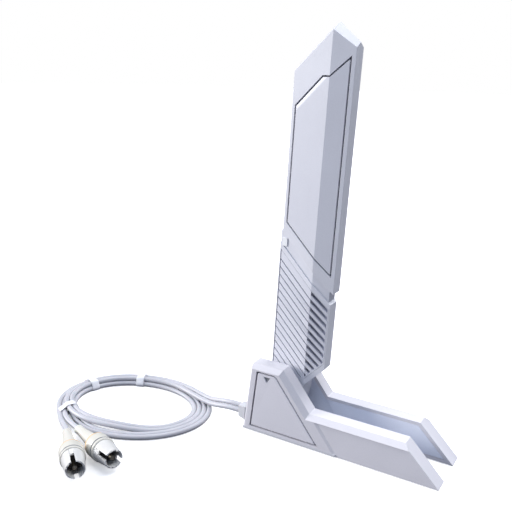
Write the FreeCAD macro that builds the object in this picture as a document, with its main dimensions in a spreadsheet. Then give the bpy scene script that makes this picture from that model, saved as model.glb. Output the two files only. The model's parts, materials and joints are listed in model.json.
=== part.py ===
"""Folding-blade desktop antenna on a forked stand, with a coiled twin lead.

Frame: millimetres, +Z up, +X towards the tips of the stand's two arms, -Y the near side.
The origin is the middle of the stand's footprint, on the surface that it stands on.
"""
import FreeCAD, Part
import math
import os
import re

import Sketcher
from FreeCAD import Placement, Rotation, Vector

os.makedirs("parts", exist_ok=True)
doc = FreeCAD.newDocument("desktop_antenna")

# --------------------------------------------------------------------------- driving dimensions
DIMENSIONS = {
    # stand, side view
    "stand_half_length": 57.7,      # rear foot to arm tip is twice this
    "stand_half_width": 18.4,
    "shell_bottom": 0.4,            # mouldings stand on rubber feet
    "plate_top": 1.8,               # bottom plate's upper face
    "rear_lean": 0.1156,            # forward lean of the rear edge, mm per mm of height
    "cheek_top": 41.6,
    "cheek_front": -34.0,           # where the cheek's flat top ends
    "arm_top": 20.0,
    "arm_start": -17.0,             # where the sloping cheek meets the arm's top
    "crease_foot": 0.6,             # cheek pad's edge at the bottom
    "crease_head": -13.4,           # cheek pad's edge under the bevel
    "bevel": 2.7,
    "rear_bevel": 1.0,
    "pad_step": 0.6,                # the cheek stands this far proud of the arm
    "slot_half": 8.2,               # half of the slot between the arms
    "hinge_slot_half": 8.8,         # and between the cheeks
    "liner_outer": 10.2,
    "shell_wall": 3.2,
    # cheek cover
    "cover_depth": 1.6,
    "cover_thick": 1.5,
    "cover_gap": 0.65,
    # hinge
    "pivot_along": -37.5,
    "pivot_height": 24.5,
    "rest_tilt": 2.3,               # blade's lean towards the arms, degrees
    "hub_radius": 10.6,
    "boss_radius": 7.6,
    "boss_half": 7.9,
    "bush_outer": 5.2,
    "tube_outer": 4.0,
    "tube_inner": 3.2,
    "pivot_clear": 0.05,
    "wall_bore": 4.05,
    # blade, measured from the pivot: along = across its width, up = along its length
    "upper_rear": -9.7,
    "upper_front": 22.9,
    "ridge_along": 10.9,
    "upper_edge_half": 4.2,
    "upper_ridge_half": 6.7,
    "lower_rear": -10.7,
    "lower_front": 21.9,
    "neck_front": 20.7,
    "lower_edge_half": 4.1,
    "lower_ridge_half": 6.3,
    "neck_depth": 0.55,             # the neck lies back from the ribbed body's faces
    "peak_up": 200.9,
    "roof_rear_slope": 1.088,
    "roof_front_slope": 0.764,
    "roof_side_slope": 0.62,
    "joint_up": 83.2,               # upper body's foot line, at along = 0
    "neck_up": 76.2,                # lower body's shoulder line, at along = 0
    "joint_slope": 0.889,
    "chamfer_top": 18.4,            # lower body's front corner
    "tang_up": 6.2,                 # where the tang's front edge begins
    "tang_front": 10.6,
    "blade_wall": 1.8,
    "upper_cavity": 2.0,
    "lower_cavity": 1.4,
    # inset panels and rib inserts
    "panel_thick": 1.2,
    "panel_gap": 0.55,
    "panel_bevel_wide": 1.7,
    "panel_bevel_deep": 0.2,
    "insert_thick": 1.2,
    "rib_pitch": 4.4,
    "groove_width": 0.85,
    "groove_depth": 0.8,
    "slot_width": 2.5,
    "slot_floor": 2.7,
    "insert_rim": 0.5,              # shell left round the rib insert
    "insert_up": 10.2,              # insert's upper edge, below the joint line
    "first_groove": 11.3,
    "first_slot": 11.9,
    "rear_gap": 0.4,                # extra gap along the insert's rear edge
    # leads
    "cable": 3.0,
    "inner_lead": 1.2,
    "gland_end": -62.1,
    "gland_face": -57.4,
    "coil_outer_long": 48.4,        # the coil is an oval ring
    "coil_outer_short": 37.4,
    "coil_inner_long": 35.9,
    "coil_inner_short": 26.0,
    "coil_height": 6.4,
    "band_length": 4.8,
    "band_thick": 0.45,
    # plugs, along their own axis from the cable's entry
    "boot_length": 24.0,
    "boot_rear_radius": 2.6,
    "boot_front_radius": 4.0,
    "collar_radius": 6.7,
    "collar_length": 10.0,
    "sleeve_root_radius": 6.0,
    "sleeve_mouth_radius": 4.9,
    "sleeve_length": 12.0,
    "sleeve_wall": 0.9,
    "slot_cut": 2.2,
    "slot_run": 7.0,
    "pin_radius": 1.15,
}

sheet = doc.addObject("Spreadsheet::Sheet", "dims")
for row, (alias, value) in enumerate(DIMENSIONS.items(), start=1):
    sheet.set(f"A{row}", alias.replace("_", " "))
    sheet.set(f"B{row}", str(value))
    sheet.setAlias(f"B{row}", alias)
doc.recompute()

NEAR = -1                           # near side is -Y, far side +Y
FAR = 1
SIDES = {"near": NEAR, "far": FAR}
finished = {}                       # node name -> document object


def formula(text):
    """The text with every dimension's name pointed at the sheet."""
    def point(match):
        word = match.group(0)
        return f"dims.{word}" if word in DIMENSIONS else word
    return re.sub(r"[a-z_]+", point, str(text))


def number(text):
    """The value of a formula written in the sheet's names."""
    return float(sheet.evalExpression(formula(text)))


def ordered(*places):
    """Formulas in rising order of their values."""
    return sorted(places, key=number)


# --------------------------------------------------------------------------- modelling helpers
def new_body(label):
    part = doc.addObject("PartDesign::Body", label)
    part.Label = label
    return part


def bind_point(drawing, edge, end, across, up):
    """Fix one end of a sketch edge at two formulas."""
    for kind, text in (("DistanceX", across), ("DistanceY", up)):
        index = drawing.addConstraint(Sketcher.Constraint(kind, -1, 1, edge, end, number(text)))
        drawing.setExpression(f"Constraints[{index}]", formula(text))


def draw_polygon(drawing, points):
    corners = [Vector(number(u), number(v), 0) for u, v in points]
    first = drawing.GeometryCount
    count = len(corners)
    for i in range(count):
        drawing.addGeometry(Part.LineSegment(corners[i], corners[(i + 1) % count]))
    for i in range(count):
        following = first + (i + 1) % count
        drawing.addConstraint(Sketcher.Constraint("Coincident", first + i, 2, following, 1))
    for i, (u, v) in enumerate(points):
        bind_point(drawing, first + i, 1, u, v)


def draw_circle(drawing, u, v, radius):
    centre = Vector(number(u), number(v), 0)
    edge = drawing.addGeometry(Part.Circle(centre, Vector(0, 0, 1), number(radius)))
    index = drawing.addConstraint(Sketcher.Constraint("Radius", edge, number(radius)))
    drawing.setExpression(f"Constraints[{index}]", formula(radius))
    bind_point(drawing, edge, 3, u, v)


def new_sketch(part, role, offset, outlines):
    plane = next(f for f in part.Origin.OriginFeatures if f.Role == role)
    drawing = part.newObject("Sketcher::SketchObject", f"{part.Label}_sketch")
    drawing.AttachmentSupport = [(plane, "")]
    drawing.MapMode = "FlatFace"
    drawing.setExpression("AttachmentOffset.Base.z", formula(offset))
    for outline in outlines:
        if isinstance(outline, tuple):
            draw_circle(drawing, *outline)
        else:
            draw_polygon(drawing, outline)
    doc.recompute()
    return drawing


def add(part, role, outlines, low, high):
    """Pad outlines between two places along the plane's axis."""
    offset = f"-({high})" if role == "XZ_Plane" else low
    pad = part.newObject("PartDesign::Pad", f"{part.Label}_pad")
    pad.Profile = new_sketch(part, role, offset, outlines)
    pad.setExpression("Length", formula(f"({high}) - ({low})"))
    doc.recompute()
    return pad


def cut(part, role, outlines, low, high):
    """Pocket outlines between two places along the plane's axis, and prove that it cut."""
    before = part.Shape.Volume
    offset = f"-({low})" if role == "XZ_Plane" else high
    pocket = part.newObject("PartDesign::Pocket", f"{part.Label}_pocket")
    pocket.Profile = new_sketch(part, role, offset, outlines)
    pocket.setExpression("Length", formula(f"({high}) - ({low})"))
    doc.recompute()
    if part.Shape.Volume > before - 0.01:
        raise RuntimeError(f"{part.Label}: a pocket cut nothing")
    return pocket


def chamfer(part, size, wanted):
    """Chamfer the edges whose middle point passes the test."""
    solid = part.Tip
    names = [f"Edge{i}" for i, edge in enumerate(solid.Shape.Edges, start=1)
             if wanted(edge.CenterOfMass, edge)]
    bevel = part.newObject("PartDesign::Chamfer", f"{part.Label}_chamfer")
    bevel.Base = (solid, names)
    bevel.setExpression("Size", formula(size))
    doc.recompute()


def revolve(part, profile):
    """Turn a profile (along X, out in Y) about the body's own X axis."""
    turned = part.newObject("PartDesign::Revolution", f"{part.Label}_turned")
    turned.Profile = new_sketch(part, "XY_Plane", "0", [profile])
    turned.ReferenceAxis = (turned.Profile[0], ["H_Axis"])
    turned.Angle = 360
    doc.recompute()


def block(label, low, high):
    """A box between two corners given as formulas."""
    piece = doc.addObject("Part::Box", label)
    for side, a, b in zip(("Length", "Width", "Height"), low, high):
        piece.setExpression(side, formula(f"({b}) - ({a})"))
    piece.Placement.Base = Vector(*(number(text) for text in low))
    return piece


def join(label, pieces):
    fused = doc.addObject("Part::MultiFuse", label)
    fused.Shapes = pieces
    return fused


def group(label, pieces):
    """Separate solids of one kind in one node."""
    together = doc.addObject("Part::Compound", label)
    together.Links = pieces
    return together


def subtract(label, base, tool):
    piece = doc.addObject("Part::Cut", label)
    piece.Base = base
    piece.Tool = tool
    return piece


def overlap(label, base, tool):
    piece = doc.addObject("Part::Common", label)
    piece.Base = base
    piece.Tool = tool
    return piece


def finish(label, piece):
    """Give a sub-part its name and keep it for export."""
    piece.Label = label
    finished[label] = piece
    return piece


def inset(points, gap):
    """A polygon moved inwards by gap; its corners run anticlockwise."""
    corners = [(number(u), number(v)) for u, v in points]
    count = len(corners)
    lines = []
    for i in range(count):
        (x1, y1), (x2, y2) = corners[i], corners[(i + 1) % count]
        length = math.hypot(x2 - x1, y2 - y1)
        nx, ny = -(y2 - y1) / length, (x2 - x1) / length
        lines.append((nx, ny, nx * x1 + ny * y1 + gap))
    moved = []
    for i in range(count):
        a1, b1, c1 = lines[i - 1]
        a2, b2, c2 = lines[i]
        det = a1 * b2 - a2 * b1
        moved.append(((c1 * b2 - c2 * b1) / det, (a1 * c2 - a2 * c1) / det))
    return moved


# --------------------------------------------------------------------------- stand
def rear_edge(height):
    return f"-stand_half_length + rear_lean * ({height})"


SIDE_PROFILE = [
    (rear_edge("plate_top"), "plate_top"),
    ("crease_foot", "plate_top"),
    ("crease_foot", "shell_bottom"),
    ("stand_half_length - shell_bottom", "shell_bottom"),
    ("stand_half_length - arm_top", "arm_top"),
    ("arm_start", "arm_top"),
    ("cheek_front", "cheek_top"),
    (rear_edge("cheek_top"), "cheek_top"),
]
COVER_RECESS = [("-53.4", "2.9"), ("-9.9", "2.9"), ("-36.6", "37.2"), ("-38.1", "38"), ("-49.4", "38")]
LINER_PROFILE = inset(SIDE_PROFILE, 2.0)
GLAND_HOLE = [("-16.6", "5.8"), ("-10.4", "5.8"), ("-10.4", "12.4"), ("-16.6", "12.4")]


def side_shell(name, side):
    """One cheek and arm: an outer moulding, open towards the slot."""
    part = new_body(f"{name}_side_shell")
    outer, inner = f"{side} * stand_half_width", f"{side} * slot_half"
    low, high = ordered(outer, inner)
    add(part, "XZ_Plane", [SIDE_PROFILE], low, high)
    face = side * number("stand_half_width")
    arm_top, cheek_top = number("arm_top"), number("cheek_top")

    def on_top(middle, edge):
        level = abs(middle.y - face) < 0.01 and abs(edge.Vertexes[0].Y - edge.Vertexes[-1].Y) < 0.01
        crest = middle.z > arm_top - 0.5 and middle.x > number(rear_edge("cheek_top")) + 1
        return level and crest
    chamfer(part, "bevel", on_top)

    def at_rear(middle, edge):
        return (abs(middle.y - face) < 0.01 and middle.x < number(rear_edge("cheek_top"))
                and edge.BoundBox.ZLength > cheek_top / 2)
    chamfer(part, "rear_bevel", at_rear)
    # the arm's outer face lies back from the cheek's
    arm_face = [
        ("crease_foot", "shell_bottom - 1"),
        ("stand_half_length + 5", "shell_bottom - 1"),
        ("stand_half_length + 5", "arm_top - bevel"),
        ("crease_head", "arm_top - bevel"),
    ]
    step = f"{side} * (stand_half_width - pad_step)"
    beyond = f"{side} * (stand_half_width + 1)"
    cut(part, "XZ_Plane", [arm_face], *ordered(beyond, step))
    # recess for the cheek cover
    floor = f"{side} * (stand_half_width - cover_depth)"
    cut(part, "XZ_Plane", [COVER_RECESS], *ordered(beyond, floor))
    # rebate for the liner, then the cavity behind it
    rebate, back = f"{side} * slot_half", f"{side} * liner_outer"
    cut(part, "XZ_Plane", [LINER_PROFILE], *ordered(back, rebate))
    deep = f"{side} * (stand_half_width - shell_wall)"
    cavity = inset(SIDE_PROFILE, 3.0)
    cut(part, "XZ_Plane", [cavity], *ordered(deep, back))
    return part


def stand_sides():
    for name, side in SIDES.items():
        shell = side_shell(name, side)
        if side == NEAR:
            cut(shell, "YZ_Plane", [GLAND_HOLE], "-stand_half_length - 5", "-48")
        finish(f"{name}_side_shell", shell)
        stand_liner(name, side)
        stand_cover(name, side)
        stand_ballast(name, side)


def stand_liner(name, side):
    """The wall of the slot: thicker along the arm than beside the hinge."""
    part = new_body(f"{name}_inner_wall")
    inner, back = f"{side} * slot_half", f"{side} * liner_outer"
    profile = inset(SIDE_PROFILE, 2.1)
    add(part, "XZ_Plane", [profile], *ordered(back, inner))
    hinge_face = [
        ("-stand_half_length - 5", "-1"),
        ("-6", "-1"),
        ("arm_start - 2.5", "arm_top + 2"),
        ("arm_start - 2.5", "cheek_top + 5"),
        ("-stand_half_length - 5", "cheek_top + 5"),
    ]
    face = f"{side} * hinge_slot_half"
    before = f"{side} * (slot_half - 1)"
    cut(part, "XZ_Plane", [hinge_face], *ordered(face, before))
    bore = ("pivot_along", "pivot_height", "wall_bore")
    cut(part, "XZ_Plane", [bore], *ordered(f"{side} * (liner_outer + 1)", before))
    finish(f"{name}_inner_wall", part)


def stand_cover(name, side):
    """The cover let into the cheek, with a small triangle moulded into it."""
    part = new_body(f"{name}_cheek_cover")
    back = f"{side} * (stand_half_width - cover_depth)"
    face = f"{side} * (stand_half_width - cover_depth + cover_thick)"
    outline = inset(COVER_RECESS, number("cover_gap"))
    add(part, "XZ_Plane", [outline], *ordered(face, back))
    mark = [("-44.4", "35.5"), ("-42.9", "32.8"), ("-41.2", "35.5")]
    sunk = f"{side} * (stand_half_width - 0.7)"
    past = f"{side} * (stand_half_width + 1)"
    cut(part, "XZ_Plane", [mark], *ordered(past, sunk))
    finish(f"{name}_cheek_cover", part)


def stand_ballast(name, side):
    """A steel bar in each arm keeps the tall blade from tipping the stand."""
    near_y, far_y = ordered(f"{side} * 10.4", f"{side} * 14.8")
    finish(f"{name}_ballast", block(f"{name}_ballast", ("-8", near_y, "5"), ("34", far_y, "15.6")))


SCREW_PLACES = [("-51.4", f"{side} * 4.5") for side in SIDES.values()]


def stand_centre():
    """The web that joins the two sides behind the hinge, the plate and the feet."""
    web = new_body("rear_bridge")
    foot = [(rear_edge("plate_top + 7"), "plate_top"), ("-49.6", "plate_top"),
            ("-49.6", "28.6"), (rear_edge("28.6 + 7"), "28.6")]
    add(web, "XZ_Plane", [foot], "-slot_half", "slot_half")
    chamfer(web, "1.2", lambda middle, edge: middle.z > 28.5 and middle.x < -50
            and edge.BoundBox.YLength > 5)
    cut(web, "XY_Plane", [(*place, "1.05") for place in SCREW_PLACES], "plate_top - 1", "9.8")
    finish("rear_bridge", web)

    plate = new_body("bottom_plate")
    outline = [("-stand_half_length", "-stand_half_width"), ("crease_foot", "-stand_half_width"),
               ("crease_foot", "-slot_half"), ("-46", "-slot_half"), ("-46", "slot_half"),
               ("crease_foot", "slot_half"), ("crease_foot", "stand_half_width"),
               ("-stand_half_length", "stand_half_width")]
    add(plate, "XY_Plane", [outline], "shell_bottom", "plate_top")
    cut(plate, "XY_Plane", [(*place, "1.5") for place in SCREW_PLACES], "shell_bottom - 1", "plate_top + 1")
    finish("bottom_plate", plate)

    screws = []
    for index, place in enumerate(SCREW_PLACES):
        screw = new_body(f"bottom_screw_{index}")
        add(screw, "XY_Plane", [(*place, "1.0")], "plate_top - 1.3", "plate_top + 7.5")
        screws.append(screw)
    finish("bottom_screws", group("bottom_screws", screws))

    feet = []
    for index, (along, side, length) in enumerate(
            ((-47, NEAR, 14), (-47, FAR, 14), (38, NEAR, 16), (38, FAR, 16))):
        y_low, y_high = ordered(f"{side} * 10.6", f"{side} * 16.4")
        feet.append(block(f"foot_{index}", (str(along - length / 2), y_low, "0"),
                          (str(along + length / 2), y_high, "shell_bottom")))
    finish("rubber_feet", group("rubber_feet", feet))


# --------------------------------------------------------------------------- hinge
def hinge():
    """A hollow pivot tube, riveted through both inner walls, with friction washers."""
    tube = new_body("hinge_tube")
    centre = ("pivot_along", "pivot_height")
    add(tube, "XZ_Plane", [(*centre, "tube_outer"), (*centre, "tube_inner")],
        "-liner_outer - 0.2", "liner_outer + 2.4")
    flange = tube.newObject("PartDesign::Pad", "flange")
    flange.Profile = new_sketch(tube, "XZ_Plane", "liner_outer",
                                [(*centre, "tube_outer + 1.6"), (*centre, "tube_inner")])
    flange.setExpression("Length", formula("1.2"))
    doc.recompute()
    corners = ((-3, 0.5), (-3, 6), (6, 6), (6, -3), (0.5, -3), (0.5, 0.5))
    window = [(f"pivot_along + {u}", f"pivot_height + {v}") for u, v in corners]
    cut(tube, "XZ_Plane", [window], "-2.5", "2.5")
    finish("hinge_tube", tube)

    nut = new_body("hinge_nut")
    corners = []
    for step in range(6):
        angle = math.radians(60 * step + 30)
        corners.append((f"pivot_along + {6.6 * math.cos(angle):.4f}",
                        f"pivot_height + {6.6 * math.sin(angle):.4f}"))
    add(nut, "XZ_Plane", [corners, (*centre, "tube_outer")], "liner_outer + 0.9", "liner_outer + 3")
    finish("hinge_nut", nut)

    spring = new_body("spring_washer")
    add(spring, "XZ_Plane", [(*centre, "6.8"), (*centre, "tube_outer + 0.1")],
        "liner_outer", "liner_outer + 0.9")
    finish("spring_washer", spring)

    washers = []
    for index, (low, high) in enumerate((("-hinge_slot_half", "-boss_half - 0.1"),
                                         ("boss_half + 0.1", "hinge_slot_half"))):
        washer = new_body(f"friction_washer_{index}")
        add(washer, "XZ_Plane", [(*centre, "7.2"), (*centre, "tube_outer + 0.05")], low, high)
        washers.append(washer)
    finish("friction_washers", group("friction_washers", washers))

    bush = new_body("hinge_bush")
    add(bush, "XZ_Plane", [("0", "0", "bush_outer"), ("0", "0", "tube_outer + pivot_clear")],
        "-boss_half", "boss_half")
    window = [("-2", "1"), ("2", "1"), ("2", "6"), ("-2", "6")]
    cut(bush, "XZ_Plane", [window], "-2", "2")
    bush.Placement = BLADE_POSE
    finish("hinge_bush", bush)


# --------------------------------------------------------------------------- blade
BLADE_POSE = Placement(Vector(number("pivot_along"), 0, number("pivot_height")),
                       Rotation(Vector(0, 1, 0), number("rest_tilt")))


def on_blade(piece):
    """Carry a piece drawn about the pivot to the blade's place at rest."""
    piece.Placement = BLADE_POSE.multiply(piece.Placement)
    return piece


def facets(side, rear, front, edge_half, ridge_half):
    """Half of the blade's section: two facets that meet at the ridge."""
    corners = [(rear, edge_half), ("ridge_along", ridge_half), (front, edge_half), (front, "0"), (rear, "0")]
    return [(u, f"{side} * ({v})") for u, v in corners]


def joint_line(base, along):
    return f"{base} - joint_slope * ({along})"


LOWER_OUTLINE = [
    ("lower_rear", "0"),
    ("tang_front", "0"),
    ("tang_front", "tang_up"),
    ("lower_front", "chamfer_top"),
    ("lower_front", joint_line("neck_up", "lower_front")),
    ("neck_front", joint_line("neck_up", "neck_front")),
    ("neck_front", joint_line("joint_up", "neck_front")),
    ("lower_rear", joint_line("joint_up", "lower_rear")),
]
PANEL_OUTLINE = [
    ("upper_rear + 1.7", "97.2"),
    ("upper_front - 2", "72"),
    ("upper_front - 2", "185.3"),
    ("10.7", "175.2"),
    ("6.9", "175"),
    ("upper_rear + 1.7", "159.1"),
]
INSERT_OUTLINE = [
    ("lower_rear + insert_rim", "11"),
    ("11.6", "11"),
    ("lower_front - insert_rim", "21.9"),
    ("lower_front - insert_rim", joint_line("joint_up - insert_up", "lower_front - insert_rim")),
    ("lower_rear + insert_rim", joint_line("joint_up - insert_up", "lower_rear + insert_rim")),
]
SLOT_WINDOW = [
    ("ridge_along", "11.8"),
    ("lower_front - insert_rim - 0.7", "22.6"),
    ("lower_front - insert_rim - 0.7", "60"),
    ("ridge_along", "72"),
]
SLOT_HOLLOW = [
    ("ridge_along", "12.6"),
    ("lower_front - 3", "22.6"),
    ("lower_front - 3", joint_line("joint_up - insert_up - 2", "lower_front - 3")),
    ("ridge_along", joint_line("joint_up - insert_up - 1", "ridge_along")),
]
NECK_OUTLINE = [
    ("lower_rear - 2", joint_line("neck_up", "lower_rear - 2")),
    ("lower_front + 2", joint_line("neck_up", "lower_front + 2")),
    ("lower_front + 2", joint_line("joint_up + 3", "lower_front + 2")),
    ("lower_rear - 2", joint_line("joint_up + 3", "lower_rear - 2")),
]
PIN_PLACES = [("10.9", "187"), ("12.5", "77"), ("-4", "83"), ("14.6", "15.4")]


def half_span(side, depth):
    """The range from the blade's middle plane out to a depth on one side."""
    return ordered("0", f"{side} * {depth}")


def prism(label, outline, side):
    """An outline carried through one half of the blade."""
    part = new_body(label)
    add(part, "XZ_Plane", [outline], *ordered(f"{side} * 0.5", f"{side} * 12"))
    return on_blade(part)


def skin(label, section, low, high):
    """A layer of the blade's faces, between two heights."""
    part = new_body(label)
    add(part, "XY_Plane", [section], low, high)
    return on_blade(part)


def roof_cutter(label, side, slope):
    """A block whose underside is one of the roof's four sloping planes."""
    size = 90.0
    cutter = doc.addObject("Part::Box", label)
    cutter.Length = cutter.Width = cutter.Height = size
    normal = Vector(slope, side * number("roof_side_slope"), 1.0)
    turn = Rotation(Vector(0, 0, 1), normal)
    peak = Vector(number("ridge_along"), 0, number("peak_up"))
    start = turn.multVec(Vector(-size / 2, -size / 2, 0))
    cutter.Placement = Placement(peak.add(start), turn)
    return on_blade(cutter)


def upper_shell(name, side):
    part = new_body(f"upper_{name}_blank")
    section = facets(side, "upper_rear", "upper_front", "upper_edge_half", "upper_ridge_half")
    add(part, "XY_Plane", [section], "50", "peak_up + 5")
    below = [("upper_rear - 5", "40"), ("upper_front + 5", "40"),
             ("upper_front + 5", joint_line("joint_up", "upper_front + 5")),
             ("upper_rear - 5", joint_line("joint_up", "upper_rear - 5"))]
    cut(part, "XZ_Plane", [below], *half_span(side, "15"))
    room = [("upper_rear + blade_wall", "102"), ("upper_front - blade_wall", "76"),
            ("upper_front - blade_wall", "184"), ("upper_rear + blade_wall", "168")]
    cut(part, "XZ_Plane", [room], *half_span(side, "upper_cavity"))
    channel = [("4", "70"), ("7.4", "70"), ("7.4", "92"), ("4", "92")]
    cut(part, "XZ_Plane", [channel], *half_span(side, "lower_cavity"))
    cut(part, "XZ_Plane", [(*place, "1") for place in PIN_PLACES[:2]], *half_span(side, "2.2"))
    on_blade(part)
    cutters = [
        roof_cutter(f"{name}_rear_roof", side, -number("roof_rear_slope")),
        roof_cutter(f"{name}_front_roof", side, number("roof_front_slope")),
    ]
    section = panel_section(side, "panel_thick", "2")
    recess = overlap(f"{name}_panel_recess", skin(f"{name}_recess_skin", section, "60", "195"),
                     prism(f"{name}_recess_prism", PANEL_OUTLINE, side))
    shell = subtract(f"upper_{name}_shell", part, join(f"{name}_upper_tools", cutters + [recess]))
    finish(f"upper_{name}_shell", shell)


def panel_section(side, depth, proud, body="upper"):
    """The band between the blade's facets, raised by proud, and the same facets sunk by depth."""
    half, ridge = f"{body}_edge_half", f"{body}_ridge_half"
    rear, front = f"{body}_rear", f"{body}_front"
    face = [(rear, f"{half} + {proud}"), ("ridge_along", f"{ridge} + {proud}"), (front, f"{half} + {proud}")]
    back = [(front, f"{half} - {depth}"), ("ridge_along", f"{ridge} - {depth}"), (rear, f"{half} - {depth}")]
    return [(u, f"{side} * ({v})") for u, v in face + back]


def bevel_cutter(label, side, first, second):
    """A block that bevels one edge of a panel's rear facet, between two corners."""
    wide, deep = number("panel_bevel_wide"), number("panel_bevel_deep")
    half, rear = number("upper_edge_half"), number("upper_rear")
    lean = (number("upper_ridge_half") - half) / (number("ridge_along") - rear)
    ends = [Vector(u, side * (half + lean * (u - rear)), v) for u, v in (first, second)]
    along = ends[1].sub(ends[0]).normalize()
    face = Vector(-lean, side, 0).normalize()
    outward = along.cross(face)
    if outward.z < 0:
        outward = outward * -1
    size = 60.0
    cutter = doc.addObject("Part::Box", label)
    cutter.Length = cutter.Width = cutter.Height = size
    turn = Rotation(Vector(0, 0, 1), face * wide + outward * deep)
    middle = (ends[0] + ends[1]) * 0.5 - outward * wide
    cutter.Placement = Placement(middle.add(turn.multVec(Vector(-size / 2, -size / 2, 0))), turn)
    return on_blade(cutter)


def upper_panel(name, side):
    """The flush panel let into each face, its upper edge bevelled."""
    outline = inset(PANEL_OUTLINE, number("panel_gap"))
    section = panel_section(side, "panel_thick", "0")
    blank = overlap(f"{name}_panel_blank", skin(f"{name}_panel_skin", section, "60", "195"),
                    prism(f"{name}_panel_prism", outline, side))
    cutter = bevel_cutter(f"{name}_panel_bevel", side, outline[5], outline[4])
    panel = subtract(f"{name}_panel", blank, cutter)
    finish(f"{name}_panel", panel)


def lower_shell(name, side):
    """The ribbed lower half of the blade, with the tang that turns on the hinge."""
    part = new_body(f"lower_{name}_blank")
    section = facets(side, "lower_rear", "lower_front", "lower_edge_half", "lower_ridge_half")
    add(part, "XY_Plane", [section], "-15", "97")
    frame = [("lower_rear - 5", "-20"), ("lower_front + 5", "-20"), ("lower_front + 5", "110"),
             ("lower_rear - 5", "110")]
    cut(part, "XZ_Plane", [frame, LOWER_OUTLINE], *half_span(side, "15"))
    add(part, "XZ_Plane", [("0", "0", "hub_radius")], *half_span(side, "5"))
    add(part, "XZ_Plane", [("0", "0", "boss_radius")], *half_span(side, "boss_half"))
    cut(part, "XZ_Plane", [("0", "0", "bush_outer")], *half_span(side, "15"))
    room = [("lower_rear + 2", "13"), ("8", "13"), ("lower_front - 2", "27.5"),
            ("lower_front - 2", "54"), ("lower_rear + 2", "82")]
    deep = half_span(side, "lower_cavity")
    cut(part, "XZ_Plane", [room], *deep)
    for channel in ([("-3", "4"), ("3", "4"), ("3", "14"), ("-3", "14")],
                    [("4", "64"), ("7.4", "64"), ("7.4", "84"), ("4", "84")]):
        cut(part, "XZ_Plane", [channel], *deep)
    cut(part, "XZ_Plane", [(*place, "1") for place in PIN_PLACES[2:]], *half_span(side, "2.2"))
    on_blade(part)
    section = panel_section(side, "insert_thick", "2", "lower")
    recess = overlap(f"{name}_insert_recess", skin(f"{name}_insert_skin", section, "0", "95"),
                     prism(f"{name}_insert_prism", INSERT_OUTLINE, side))
    hollow = new_body(f"{name}_slot_hollow")
    add(hollow, "XZ_Plane", [SLOT_HOLLOW], *ordered(f"{side} * slot_floor", f"{side} * 12"))
    on_blade(hollow)
    neck_section = panel_section(side, "neck_depth", "2", "lower")
    neck = overlap(f"{name}_neck", skin(f"{name}_neck_skin", neck_section, "50", "99"),
                   prism(f"{name}_neck_prism", NECK_OUTLINE, side))
    body = subtract(f"{name}_lower_body", part, join(f"{name}_lower_tools", [recess, hollow, neck]))
    low_y, high_y = ordered(f"{side} * 3.6", f"{side} * 4.5")
    tab = block(f"{name}_tab", ("lower_rear + 1.4", low_y, "84"), ("lower_rear + 4.2", high_y, "88.8"))
    shell = join(f"lower_{name}_shell", [body, on_blade(tab)])
    finish(f"lower_{name}_shell", shell)


def oblique(label, side, along_from, along_to, up, width, floor, top):
    """A bar along the rib direction, for cutting one groove."""
    half = f"({width}) / 2"
    outline = [(along_from, f"{up} - {half} - joint_slope * ({along_from})"),
               (along_to, f"{up} - {half} - joint_slope * ({along_to})"),
               (along_to, f"{up} + {half} - joint_slope * ({along_to})"),
               (along_from, f"{up} + {half} - joint_slope * ({along_from})")]
    part = new_body(label)
    add(part, "XZ_Plane", [outline], *ordered(f"{side} * ({floor})", f"{side} * ({top})"))
    return on_blade(part)


def rib_insert(name, side):
    """A grille plate: fine grooves on the rear facet that widen to slots on the front facet."""
    section = panel_section(side, "insert_thick", "0", "lower")
    gap = "lower_rear + insert_rim + rear_gap"
    plain = [(gap, "11"), *INSERT_OUTLINE[1:4], (gap, joint_line("joint_up - insert_up", gap))]
    outline = inset(plain, 0.15)
    plate = overlap(f"{name}_insert_plate", skin(f"{name}_plate_skin", section, "0", "95"),
                    prism(f"{name}_plate_prism", outline, side))
    count = int(number("(joint_up - first_groove - 8) / rib_pitch"))
    layer = skin(f"{name}_groove_skin", panel_section(side, "groove_depth", "2", "lower"), "0", "95")
    fine, wide = [], []
    for index in range(count + 1):
        level = f"joint_up - first_slot - {index} * rib_pitch"
        wide.append(oblique(f"{name}_slot_{index}", side, "ridge_along + 0.1", "lower_front - 1",
                            level, "slot_width", "1", "9"))
        if index > 0:
            level = f"joint_up - first_groove - {index} * rib_pitch"
            fine.append(oblique(f"{name}_groove_{index}", side, "lower_rear + 0.5", "ridge_along",
                                level, "groove_width", "1", "9"))
    slots = overlap(f"{name}_slots", join(f"{name}_slot_bars", wide),
                    prism(f"{name}_window", SLOT_WINDOW, side))
    grooves = overlap(f"{name}_grooves", join(f"{name}_groove_bars", fine), layer)
    insert = subtract(f"{name}_rib_insert", plate, join(f"{name}_rib_tools", [grooves, slots]))
    finish(f"{name}_rib_insert", insert)


def blade():
    for name, side in SIDES.items():
        upper_shell(name, side)
        upper_panel(name, side)
        lower_shell(name, side)
        rib_insert(name, side)
    upper = block("upper_antenna_board", ("upper_rear + 3", "0.25", "106"), ("upper_front - 3", "1.25", "164"))
    finish("upper_antenna_board", on_blade(upper))
    lower = block("lower_antenna_board", ("lower_rear + 4", "-1.3", "30"), ("12", "-0.3", "60"))
    finish("lower_antenna_board", on_blade(lower))
    pads = []
    for index, up in enumerate(("112", "152")):
        pads.append(on_blade(block(f"pad_{index}", ("-4", "-upper_cavity", up), ("4", "0.25", f"{up} + 6"))))
    finish("board_pads", group("board_pads", pads))
    pins = []
    for index, place in enumerate(PIN_PLACES):
        pin = new_body(f"shell_pin_{index}")
        add(pin, "XZ_Plane", [(*place, "1")], "-2.2", "2.2")
        pins.append(on_blade(pin))
    finish("shell_pins", group("shell_pins", pins))


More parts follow.
